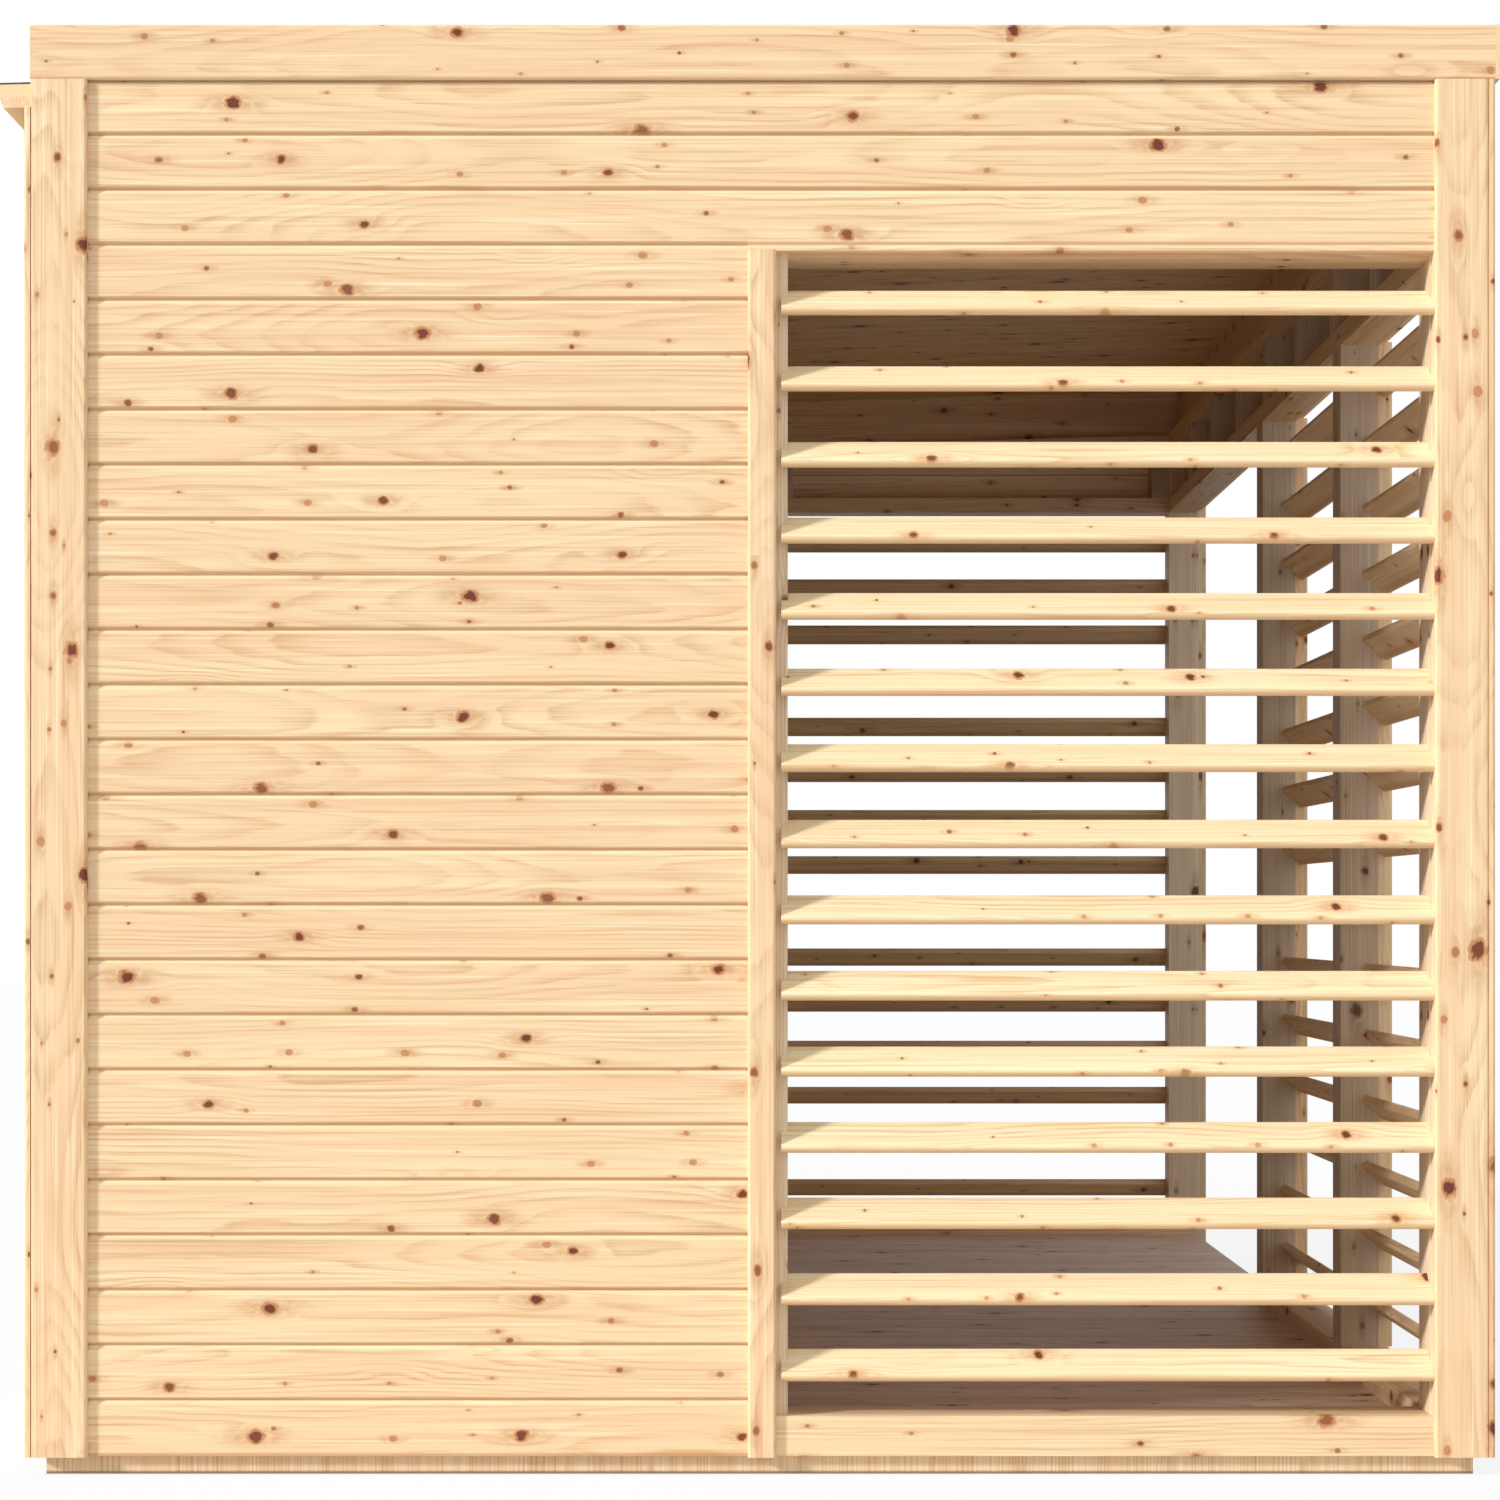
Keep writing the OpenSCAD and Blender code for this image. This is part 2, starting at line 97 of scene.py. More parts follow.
def board_space(tree, along, across, pitch_mm, first_mm, seed):
    """The point as along, across and depth in metres, and its board's chance values."""
    place = add(tree, "TexCoord").outputs["Object"]
    axes = add(tree, "SeparateXYZ", wires={"Vector": place})
    depth = next(axis for axis in AXES if axis not in (along, across))
    first, pitch, fold = first_mm / 1000, pitch_mm / 1000, FOLD_MM / 1000
    from_first = {0: axes.outputs[AXES[across]], 1: first}
    start = add(tree, "Math", {"operation": "SUBTRACT"}, from_first)
    rows = add(tree, "Math", {"operation": "DIVIDE"}, {0: start, 1: pitch})
    row = add(tree, "Math", {"operation": "FLOOR"}, {0: rows})
    between = seed + 0.5  # halfway between whole numbers, so that rounding can't change a board
    number = add(tree, "Math", {"operation": "ADD"}, {0: row, 1: between})
    part = add(tree, "Math", {"operation": "FRACT"}, {0: rows})
    centred = add(tree, "Math", {"operation": "SUBTRACT"}, {0: part, 1: 0.5})
    side = add(tree, "Math", {"operation": "MULTIPLY"}, {0: centred, 1: pitch})
    chance = add(tree, "TexWhiteNoise", {"noise_dimensions": "1D"}, {"W": number})
    far_off = {0: chance, 1: TREE_RUN_M, 2: axes.outputs[AXES[along]]}
    run = add(tree, "Math", {"operation": "MULTIPLY_ADD"}, far_off)
    back = add(tree, "Math", {"operation": "PINGPONG"}, {0: axes.outputs[AXES[depth]], 1: fold})
    values = add(tree, "SeparateColor", wires={"Color": chance.outputs["Color"]})
    point = add(tree, "CombineXYZ", wires={0: run, 1: side, 2: back})
    space = {"point": point, "along": run, "across": side, "depth": back, "number": number}
    space["chance"] = list(values.outputs)
    space["height"] = axes.outputs["Z"]
    return space


def stretched_noise(tree, space, long_mm, wide_mm):
    """A noise whose blotches are about this long and this wide in the timber."""
    scale = (1000 / long_mm, 1000 / wide_mm, 1000 / wide_mm)
    place = add(tree, "VectorMath", {"operation": "MULTIPLY"}, {0: space["point"], 1: scale})
    return add(tree, "TexNoise", wires={"Vector": place, "Scale": 1.0, "Detail": NOISE_DETAIL})


print("depth folds every", FOLD_MM, "mm")

# %% [markdown]
# ## Where the knots lie
#
# A knot is the root of a branch, so it is round, dark and dense, and the rings bend round it.
# They could be modelled as discs, but on a planed board they are flush, so they belong in the
# colour. A Voronoi texture scatters one point in each cell of a grid that is stretched along
# the board, and the true distance to that point, in metres, draws the knot.
#
# The bend of the grain reaches further along the board than across it, so the same offset is
# measured a second time with its length pressed together. Two random values come with each
# knot: one sets its size, the other how dark it has grown.

# %% Where the knots lie
KNOT_PRESS = 0.8  # a sawn knot is a little longer than it is wide
BEND_PRESS = 0.3  # and the bend in the grain round it is longer still
KNOT_SCATTER = 0.9  # 0 would set the knots in even rows, 1 leaves them wholly to chance


def knots(tree, space, cell_mm, depth_share, moved):
    """Distance to the nearest knot, the same with its length pressed, its size and its age."""
    length, width = cell_mm[0] / 1000, cell_mm[1] / 1000
    scaled = {"operation": "MULTIPLY_ADD"}
    sideways = add(tree, "Math", scaled, {0: space["depth"], 1: depth_share, 2: space["across"]})
    cells = add(tree, "Math", scaled, {0: space["along"], 1: 1 / length, 2: moved})
    lanes = add(tree, "Math", scaled, {0: sideways, 1: 1 / width, 2: 0.5})
    grid = add(tree, "CombineXYZ", wires={0: cells, 1: lanes})
    flat = {"voronoi_dimensions": "2D"}
    points = {"Vector": grid, "Scale": 1.0, "Randomness": KNOT_SCATTER}
    scatter = add(tree, "TexVoronoi", flat, points)
    nearest = scatter.outputs["Position"]
    gap = add(tree, "VectorMath", {"operation": "SUBTRACT"}, {0: grid, 1: nearest})
    metres = add(tree, "VectorMath", {"operation": "MULTIPLY"}, {0: gap, 1: (length, width, 0.0)})
    oval = add(tree, "VectorMath", {"operation": "MULTIPLY"}, {0: metres, 1: (KNOT_PRESS, 1.0, 0.0)})
    away = add(tree, "VectorMath", {"operation": "LENGTH"}, {0: oval})
    pressed = add(tree, "VectorMath", {"operation": "MULTIPLY"}, {0: metres, 1: (BEND_PRESS, 1.0, 0.0)})
    bend = add(tree, "VectorMath", {"operation": "LENGTH"}, {0: pressed})
    chances = add(tree, "SeparateColor", wires={"Color": scatter.outputs["Color"]})
    return {"away": away, "bend": bend, "size": chances.outputs[0], "age": chances.outputs[1]}


print("the grain bends", round(1 / BEND_PRESS, 1), "times as far along as across")

# %% [markdown]
# ## The stain of a knot
#
# A knot is not one disc of colour. Round its hard dark core lies a brown rim, and round that
# a tan halo of resin that runs out along the grain. Each of the three is full near the middle
# and fades to nothing further out, at distances counted in sizes of that knot. A ragged noise
# is added to the distance, so that no edge is a clean circle.

# %% The stain of a knot
CORE_FADE = (0.6, 0.85)
RIM_FADE = (0.95, 1.2)
HALO_FADE = (0.5, 2.3)


def knot_stain(tree, knot, ragged, clear, smallest_mm, largest_mm):
    """Shares of dark core, brown rim and tan halo. Cells with a size under clear hold no knot."""
    sizes = {0: knot["size"], 1: clear, 2: 1.0, 3: smallest_mm / 1000, 4: largest_mm / 1000}
    radius = add(tree, "MapRange", wires=sizes)
    present = add(tree, "Math", {"operation": "GREATER_THAN"}, {0: knot["size"], 1: clear})
    round_near = add(tree, "Math", {"operation": "DIVIDE"}, {0: knot["away"], 1: radius})
    round_edge = add(tree, "Math", {"operation": "ADD"}, {0: round_near, 1: ragged})
    long_near = add(tree, "Math", {"operation": "DIVIDE"}, {0: knot["bend"], 1: radius})
    long_edge = add(tree, "Math", {"operation": "ADD"}, {0: long_near, 1: ragged})
    soft = {"interpolation_type": "SMOOTHSTEP"}
    parts = []
    for edge, fade in ((round_edge, CORE_FADE), (round_edge, RIM_FADE), (long_edge, HALO_FADE)):
        left = add(tree, "MapRange", soft, {0: edge, 1: fade[0], 2: fade[1], 3: 1.0, 4: 0.0})
        parts.append(add(tree, "Math", {"operation": "MULTIPLY"}, {0: left, 1: present}))
    return parts


print("a halo ends at", HALO_FADE[1], "times the size of its knot")

# %% [markdown]
# ## Yearly rings
#
# The rings are a saw-tooth of the distance from the heart: the colour creeps up through the
# summer wood and drops fast. The heart wanders slowly along the trunk, by a low noise, and
# the grain moves aside at each knot, so the lines flow round it. A faster ripple keeps the
# lines from looking ruled.

# %% Yearly rings
RING_MM = 5.0  # yearly ring, 2 to 4 mm in life, drawn as coarse as it needs to show
LEAN_MM = 85.0  # how far beside the middle of the board the heart of the tree lies at most
BACK_MM = (-30.0, 70.0)  # how far behind the face it lies, below zero in front of it
ROAM_MM = 40.0  # how far it strays along a trunk
STRAYS_PER_M = 1.1  # and how often
RIPPLE_MM = 8.0
RIPPLE_SPREAD_MM = (260.0, 34.0)  # length and width of one ripple
BEND_MM = 6.0  # how far a knot pushes the rings aside
BEND_REACH_MM = 26.0
SUMMER_STARTS = 0.40  # parts of a year: the colour begins to creep up
SUMMER_FULL = 0.88  # and is darkest here


def rings(tree, space, bend, lean_mm, roam_mm):
    """How dark the yearly ring is, 0 in spring wood and 1 at the end of summer wood."""
    slow = add(tree, "Math", {"operation": "MULTIPLY"}, {0: space["along"], 1: STRAYS_PER_M})
    drift = add(tree, "CombineXYZ", wires={0: slow, 1: space["number"]})
    flat = {"noise_dimensions": "2D"}
    wander = add(tree, "TexNoise", flat, {"Vector": drift, "Scale": 1.0, "Detail": 1.0})
    lean = lean_mm / 1000
    beside = add(tree, "MapRange", wires={0: space["chance"][0], 3: -lean, 4: lean})
    side = add(tree, "Math", {"operation": "ADD"}, {0: space["across"], 1: beside})
    backs = {0: space["chance"][2], 3: BACK_MM[0] / 1000, 4: BACK_MM[1] / 1000}
    back = add(tree, "MapRange", wires=backs)
    roam = add(tree, "Math", {"operation": "MULTIPLY_ADD"}, {0: wander, 1: roam_mm / 1000, 2: back})
    behind = add(tree, "Math", {"operation": "ADD"}, {0: space["depth"], 1: roam})
    from_heart = add(tree, "CombineXYZ", wires={0: side, 1: behind})
    radius = add(tree, "VectorMath", {"operation": "LENGTH"}, {0: from_heart})
    ripple = stretched_noise(tree, space, *RIPPLE_SPREAD_MM)
    waves = {0: ripple, 1: RIPPLE_MM / 1000, 2: radius}
    waved = add(tree, "Math", {"operation": "MULTIPLY_ADD"}, waves)
    soft = {"interpolation_type": "SMOOTHSTEP"}
    reach = {0: bend, 1: 0.0, 2: BEND_REACH_MM / 1000, 3: 1.0, 4: 0.0}
    near = add(tree, "MapRange", soft, reach)
    bent = add(tree, "Math", {"operation": "MULTIPLY_ADD"}, {0: near, 1: BEND_MM / 1000, 2: waved})
    years = add(tree, "Math", {"operation": "DIVIDE"}, {0: bent, 1: RING_MM / 1000})
    tooth = add(tree, "Math", {"operation": "FRACT"}, {0: years})
    curve = add(tree, "ValToRGB", wires={"Fac": tooth})
    stops = curve.color_ramp.elements
    stops[0].position = SUMMER_STARTS
    stops[0].color = (0.0, 0.0, 0.0, 1.0)
    stops[1].position = SUMMER_FULL
    stops[1].color = (1.0, 1.0, 1.0, 1.0)
    year_end = stops.new(1.0)
    year_end.color = (0.0, 0.0, 0.0, 1.0)
    return curve


print("ring spacing:", RING_MM, "mm")

# %% [markdown]
# ## Fibres
#
# Fibres are noises stretched out along the grain, tens of times as long as they are wide. The
# thin ones give brown and pale streaks, and a broad one the pale and warm bands that run the
# length of a board.

# %% Fibres
STREAK_MM = (330.0, 3.2)  # length and width of one dark streak
PALE_STREAK_MM = (420.0, 5.5)
BAND_MM = (900.0, 22.0)
STREAK_RANGE = (0.53, 0.72)  # of the noise: no streak below the first, a full one above the last
PALE_STREAK_RANGE = (0.54, 0.74)
BAND_RANGE = (0.34, 0.68)


def fibres(tree, space):
    """Shares of thin dark streaks, thin pale streaks and broad warm bands, and the fine noise."""
    thread = stretched_noise(tree, space, *STREAK_MM)
    pale_thread = stretched_noise(tree, space, *PALE_STREAK_MM)
    broad = stretched_noise(tree, space, *BAND_MM)
    dark = add(tree, "MapRange", wires={0: thread, 1: STREAK_RANGE[0], 2: STREAK_RANGE[1]})
    pale_range = {0: pale_thread, 1: PALE_STREAK_RANGE[0], 2: PALE_STREAK_RANGE[1]}
    pale = add(tree, "MapRange", wires=pale_range)
    warm = add(tree, "MapRange", wires={0: broad, 1: BAND_RANGE[0], 2: BAND_RANGE[1]})
    return {"dark": dark, "pale": pale, "warm": warm, "thread": thread}


print("a dark streak is about", round(STREAK_MM[0] / STREAK_MM[1]), "times as long as wide")

# %% [markdown]
# ## The tones of a batch of timber
#
# Six tones describe a batch of timber: spring wood, its palest streaks, a warmer board, summer
# wood, the halo round a knot and the knot itself. Each layer of the finish is mixed over the
# last one by its own share.
#
# The ground tone comes first. It leans to the warm side in some boards and in bands along
# each board, and pale streaks lie over it. The rings come next. They show strongly in some
# stretches and hardly in others, and the fibres break them up, so no line runs on unbroken.

# %% The tones of a batch of timber
TONE_NAMES = ("spring", "palest", "warm", "summer", "halo", "knot")
PALE_PINE = ("#FBDFB1", "#FFF0CA", "#F4CCA0", "#D5A475", "#C27A46", "#6E3022")
BOARD_WARMTH = 0.35  # how much warmer one board can be than another
COOLEST_BOARD = -0.1  # under zero, which is cut off, so that some boards get no warmth
BAND_WARMTH = 0.75
PALE_STREAK_STRENGTH = 0.75
STRETCH_MM = (480.0, 40.0)  # length and width of a stretch in which the rings show
STRETCH_RANGE = (0.36, 0.62)  # of its noise: faint rings below the first, full above the last
FAINT_RINGS = 0.15
BREAK_RANGE = (0.38, 0.58)  # of the fine noise: where fibres thin a ring line, and where not
BROKEN_RINGS = 0.35


def layer(tree, share, below, above):
    """Lay one colour over another by a share."""
    wires = {"Factor": share, 6: below, 7: above}
    return add(tree, "Mix", {"data_type": "RGBA"}, wires).outputs[2]


def ground_tone(tree, space, tones, fibre):
    """Spring wood, warmer in some boards and bands, with pale streaks."""
    leaning = {"operation": "MULTIPLY_ADD", "use_clamp": True}
    of_board = {0: space["chance"][1], 1: BOARD_WARMTH, 2: COOLEST_BOARD}
    drift = add(tree, "Math", leaning, of_board)
    warmth = add(tree, "Math", leaning, {0: fibre["warm"], 1: BAND_WARMTH, 2: drift})
    colour = layer(tree, warmth, tones["spring"], tones["warm"])
    streaks = {0: fibre["pale"], 1: PALE_STREAK_STRENGTH}
    bright = add(tree, "Math", {"operation": "MULTIPLY"}, streaks)
    return layer(tree, bright, colour, tones["palest"])


def ring_lines(tree, space, ring, fibre, figure):
    """The share of summer wood that shows, at most as strong as the figure of the batch."""
    stretch = stretched_noise(tree, space, *STRETCH_MM)
    shown = {0: stretch, 1: STRETCH_RANGE[0], 2: STRETCH_RANGE[1], 3: FAINT_RINGS, 4: figure}
    strength = add(tree, "MapRange", wires=shown)
    thinned = {0: fibre["thread"], 1: BREAK_RANGE[0], 2: BREAK_RANGE[1], 3: BROKEN_RINGS, 4: 1.0}
    broken = add(tree, "MapRange", wires=thinned)
    fibrous = add(tree, "Math", {"operation": "MULTIPLY"}, {0: ring, 1: broken})
    return add(tree, "Math", {"operation": "MULTIPLY"}, {0: fibrous, 1: strength})


print("tones of planed pine:", ", ".join(PALE_PINE))

# %% [markdown]
# ## Knots in the colour
#
# Two scatters of knots lie on every board: a few full knots, and many pin knots and flecks
# that hardly show. Old knots are dark to the middle and young ones stay brown, so the age of
# each sets how much of the dark tone it gets. The halo is patchy, by the same fine noise that
# makes the edges ragged.

# %% Knots in the colour
RAGGED_MM = (16.0, 8.0)  # length and width of a bulge in a knot's edge
RAGGEDNESS = 0.7  # how far a bulge reaches at most, in sizes of the knot
PATCH_RANGE = (0.35, 0.65)  # of the fine noise: where the halo is thin, and where it is full
PATCHES = (0.2, 0.95)
AGE_RANGE = (0.0, 0.5)  # a knot older than the last is as dark as it gets
FULL_KNOT_DARK = (0.6, 0.95)  # how dark the youngest and the oldest are
PIN_AGE_RANGE = (0.25, 0.9)
PIN_KNOT_DARK = (0.0, 0.8)
FULL_KNOT_LEAST_MM = 6.5
PIN_KNOT_LEAST_MM = 1.5
PIN_KNOT_CLEAR = 0.6  # this share of the cells for pin knots holds none
PIN_KNOT_SHARE = 0.5  # the largest pin knot, as a part of the largest full knot
RIM_STRENGTH = 0.75


def stain_knots(tree, space, tones, colour, looks, full, pins):
    """The colour with the halo, rim and core of every knot laid over it, and the core's share."""
    fine = stretched_noise(tree, space, *RAGGED_MM)
    ragged = add(tree, "MapRange", wires={0: fine, 3: -RAGGEDNESS, 4: RAGGEDNESS})
    patches = {0: fine, 1: PATCH_RANGE[0], 2: PATCH_RANGE[1], 3: PATCHES[0], 4: PATCHES[1]}
    patchy = add(tree, "MapRange", wires=patches)
    largest = looks["knot_mm"]
    full_sizes = (looks["clear"], FULL_KNOT_LEAST_MM, largest)
    core, rim, halo = knot_stain(tree, full, ragged, *full_sizes)
    pin_sizes = (PIN_KNOT_CLEAR, PIN_KNOT_LEAST_MM, largest * PIN_KNOT_SHARE)
    pin_core, pin_rim, pin_halo = knot_stain(tree, pins, ragged, *pin_sizes)

    tan = add(tree, "Math", {"operation": "MAXIMUM"}, {0: halo, 1: pin_halo})
    stain = add(tree, "Math", {"operation": "MULTIPLY"}, {0: tan, 1: patchy})
    colour = layer(tree, stain, colour, tones["summer"])
    brown = add(tree, "Math", {"operation": "MAXIMUM"}, {0: rim, 1: pin_rim})
    toned = add(tree, "Math", {"operation": "MULTIPLY"}, {0: brown, 1: RIM_STRENGTH})
    colour = layer(tree, toned, colour, tones["halo"])

    ages = {0: full["age"], 1: AGE_RANGE[0], 2: AGE_RANGE[1]}
    aged = add(tree, "MapRange", wires={**ages, 3: FULL_KNOT_DARK[0], 4: FULL_KNOT_DARK[1]})
    full_dark = add(tree, "Math", {"operation": "MULTIPLY"}, {0: core, 1: aged})
    pin_ages = {0: pins["age"], 1: PIN_AGE_RANGE[0], 2: PIN_AGE_RANGE[1]}
    pin_aged = add(tree, "MapRange", wires={**pin_ages, 3: PIN_KNOT_DARK[0], 4: PIN_KNOT_DARK[1]})
    pin_dark = add(tree, "Math", {"operation": "MULTIPLY"}, {0: pin_core, 1: pin_aged})
    dark = add(tree, "Math", {"operation": "MAXIMUM"}, {0: full_dark, 1: pin_dark})
    return layer(tree, dark, colour, tones["knot"]), core


print("pin knots are", PIN_KNOT_LEAST_MM, "mm and up, full knots", FULL_KNOT_LEAST_MM, "mm and up")

# %% [markdown]
# ## Edges
#
# Some tones are painted along the edges of a board and not in its grain. Above a level joint,
# the lip of the groove is in shade, and below it the lip of the next board catches the light.
# The light alone gives most of that, and a painted shade on the lip above the joint and a painted
# highlight on the lip below it make up the rest. Floor and roof boards get the same painted shade and
# highlight along their joints.
#
# The lower edge of a slat gets a painted shade, where it faces down, the foot of a bearer gets a
# painted shade where it stands on the ground, and the outermost boards of the roof, whose edges show
# outside, are of paler timber.

# %% Edges
LIP_FROM_MM = 6.5  # the painted shade or highlight of a lip begins this far from the middle of the joint
LIP_FULL_MM = 3.5  # and is full this far from it
# painted shade on the lip above a level joint; the palest tone is the painted highlight on the lip
# below it
LIP_PAINTED_SHADE = "#C48E58"
PAINTED_SHADE_STRENGTH = 0.8
PAINTED_HIGHLIGHT_STRENGTH = 0.55
SLAT_EDGE_MM = 6.0  # the painted shade is full to here from the lower edge, and gone at twice this
# colour of the painted shade at the foot of a bearer, where it stands on the ground
FOOT_PAINTED_SHADE = "#6E6355"
FOOT_SHADE_STRENGTH = 0.8
OUTER_PALENESS = 0.85


def paint_joint_shade_and_highlight(tree, space, colour, palest, pitch_mm, joint):
    """Paint shade on the lip above a joint and a highlight on the lip below it."""
    half = pitch_mm / 2000
    start, full = LIP_FROM_MM / 1000, LIP_FULL_MM / 1000
    above = {0: space["across"], 1: start - half, 2: full - half, 4: joint * PAINTED_SHADE_STRENGTH}
    colour = layer(tree, add(tree, "MapRange", wires=above), colour, linear(LIP_PAINTED_SHADE))
    under = {0: space["across"], 1: half - start, 2: half - full, 4: joint * PAINTED_HIGHLIGHT_STRENGTH}
    return layer(tree, add(tree, "MapRange", wires=under), colour, palest)


def shade_slat_lower_edge(tree, space, colour, summer, slat_mm, strength):
    """Paint shade on the lower edge of a slat that stands this high in the middle of its pitch."""
    edge = (SLAT_EDGE_MM - slat_mm / 2) / 1000
    low = {0: space["across"], 1: edge + SLAT_EDGE_MM / 1000, 2: edge, 4: strength}
    return layer(tree, add(tree, "MapRange", wires=low), colour, summer)


def shade_foot(tree, space, colour, foot_shade_mm):
    """Paint shade on the wood up to this height above the ground, where it stands on the floor."""
    shade_top = foot_shade_mm / 1000
    foot_shade = {0: space["height"], 1: shade_top * 0.5, 2: shade_top, 3: FOOT_SHADE_STRENGTH, 4: 0.0}
    return layer(tree, add(tree, "MapRange", wires=foot_shade), colour, linear(FOOT_PAINTED_SHADE))


def pale_outermost(tree, space, colour, seed, count):
    """Give the first and last of this many boards the ground tone of planed pine."""
    middle = {0: space["number"], 1: seed + count / 2}
    from_middle = add(tree, "Math", {"operation": "SUBTRACT"}, middle)
    apart = add(tree, "Math", {"operation": "ABSOLUTE"}, {0: from_middle})
    outermost = add(tree, "Math", {"operation": "GREATER_THAN"}, {0: apart, 1: count / 2 - 1})
    share = add(tree, "Math", {"operation": "MULTIPLY"}, {0: outermost, 1: OUTER_PALENESS})
    return layer(tree, share, colour, linear(PALE_PINE[0]))


print("the tint of a lip comes up over", LIP_FROM_MM - LIP_FULL_MM, "mm")

# %% [markdown]
# ## Gloss and relief
#
# Planed pine is a plain dielectric: an IOR near 1.45, no metal and little gloss. The fine
# noise moves its roughness a little and drives a bump of a few tenths of a millimetre, in
# which the ring lines lie low and the knots stand a touch proud. A displaced mesh would show
# no more from this far off.

# %% Gloss and relief
GLOSS_SPREAD = (-0.08, 0.1)  # the fine noise moves the roughness between these
SUMMER_SUNK = -0.5  # height of summer wood, where a knot stands 1 high
RELIEF_MM = 0.6  # what a height of 1 is worth
RELIEF_STRENGTH = 0.25
PINE_IOR = 1.45
PINE_SPECULAR = 0.35


def relief_and_gloss(tree, colour, lines, core, thread, roughness):
    """The shader of the finish: colour, roughness and a shallow bump."""
    span = {0: thread, 3: roughness + GLOSS_SPREAD[0], 4: roughness + GLOSS_SPREAD[1]}
    gloss = add(tree, "MapRange", wires=span)
    sinking = {0: lines, 1: SUMMER_SUNK, 2: thread}
    sunk = add(tree, "Math", {"operation": "MULTIPLY_ADD"}, sinking)
    raised = add(tree, "Math", {"operation": "ADD"}, {0: sunk, 1: core})
    relief = {"Strength": RELIEF_STRENGTH, "Distance": RELIEF_MM / 1000, "Height": raised}
    bump = add(tree, "Bump", wires=relief)
    face = {"Base Color": colour, "Roughness": gloss, "IOR": PINE_IOR, "Normal": bump}
    return add(tree, "BsdfPrincipled", wires={**face, "Specular IOR Level": PINE_SPECULAR})


print("roughness moves over", round(GLOSS_SPREAD[1] - GLOSS_SPREAD[0], 2))

# %% [markdown]
# ## The whole pine finish
#
# One function puts the recipe together, so boards, posts, slats and beams are all the same
# pine. What can differ from one batch to the next is listed once, with the values of a plain
# board, and each batch below names only what it changes.

# %% The whole pine finish
PLAIN_LOOKS = {
    "tones": PALE_PINE,
    "figure": 0.7,  # how strongly the rings show
    "roughness": 0.62,
    "lean_mm": LEAN_MM,
    "roam_mm": ROAM_MM,
    "knot_cell_mm": (560.0, 88.0),  # at most one full knot in a piece this long and wide
    "knot_mm": 11.0,  # size of the largest
    "clear": 0.2,  # share of such pieces with none
    "depth_share": 0.0,  # 1 where the edge of a board shows beside its face
    "joint": 0.0,  # strength of the painted shade and highlight along the joints
    "slat_mm": 0.0,  # height of a slat, whose lower edge gets a painted shade
    "slat_edge": 0.0,  # and how strong that painted shade is
    "foot_shade_mm": 0.0,  # height of the painted shade at the foot
    "roof_boards": 0,  # how many, where the outermost are paler
}
STREAK_STRENGTH = 0.55
PIN_CELL_SHARE = (0.3, 0.5)  # length and width of a pin knot's cell, as parts of a full one's
PIN_CELL_SHIFT = 7.3  # so that pin knots don't line up with full ones


def planed_pine(name, along, across, pitch_mm, first_mm, seed, **changes):
    """A pine finish whose boards run along one axis and repeat across another."""
    looks = {**PLAIN_LOOKS, **changes}
    tones = dict(zip(TONE_NAMES, map(linear, looks["tones"])))
    finish = bpy.data.materials.new(name)
    finish.use_nodes = True
    tree = finish.node_tree
    tree.nodes.clear()
    space = board_space(tree, along, across, pitch_mm, first_mm, seed)
    cell = looks["knot_cell_mm"]
    pin_cell = (cell[0] * PIN_CELL_SHARE[0], cell[1] * PIN_CELL_SHARE[1])
    full = knots(tree, space, cell, looks["depth_share"], 0.0)
    pins = knots(tree, space, pin_cell, looks["depth_share"], PIN_CELL_SHIFT)
    ring = rings(tree, space, full["bend"], looks["lean_mm"], looks["roam_mm"])
    fibre = fibres(tree, space)

    colour = ground_tone(tree, space, tones, fibre)
    lines = ring_lines(tree, space, ring, fibre, looks["figure"])
    colour = layer(tree, lines, colour, tones["summer"])
    strength = {0: fibre["dark"], 1: STREAK_STRENGTH * looks["figure"]}
    streaks = add(tree, "Math", {"operation": "MULTIPLY"}, strength)
    colour = layer(tree, streaks, colour, tones["summer"])
    if looks["roof_boards"]:
        colour = pale_outermost(tree, space, colour, seed, looks["roof_boards"])
    colour, core = stain_knots(tree, space, tones, colour, looks, full, pins)
    # painted shade on the lower, down-facing edge of a slat
    if looks["slat_mm"]:
        summer = tones["summer"]
        colour = shade_slat_lower_edge(tree, space, colour, summer, looks["slat_mm"], looks["slat_edge"])
    # painted shade at the foot, where the wood stands on the ground
    if looks["foot_shade_mm"]:
        colour = shade_foot(tree, space, colour, looks["foot_shade_mm"])
    # painted shade and painted highlight on the lips of the joints
    if looks["joint"]:
        colour = paint_joint_shade_and_highlight(tree, space, colour, tones["palest"], pitch_mm, looks["joint"])

    skin = relief_and_gloss(tree, colour, lines, core, fibre["thread"], looks["roughness"])
    add(tree, "OutputMaterial", wires={"Surface": skin})
    return finish


print("values that a batch can change:", ", ".join(PLAIN_LOOKS))

# %% [markdown]
# ## Dressing the pieces
#
# The CAD pieces keep their shapes, their places and their material slots. To dress one is to
# put a finish into every slot it has, so a small loop over names is all it takes.

# %% Dressing the pieces
def dress(finish, *names):
    """Give every slot of these CAD pieces one finish."""
    for name in names:
        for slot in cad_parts[name].material_slots:
            slot.material = finish
    print(finish.name, "->", ", ".join(names))


print("pieces to dress:", len(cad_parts))

# %% [markdown]
# ## Wall boards
#
# The walls are tongued and grooved pine boards laid level, with a V joint between them. The
# joints are real grooves in the CAD model, 88 mm apart from 32 mm above the ground, and the
# finish counts its boards by the same two numbers, so a new tree starts exactly in a joint.
# Boards on the side walls run along X, and those on the back and front run along Y. The sill
# board under the louvres has no joint, so it gets one wide row to itself.

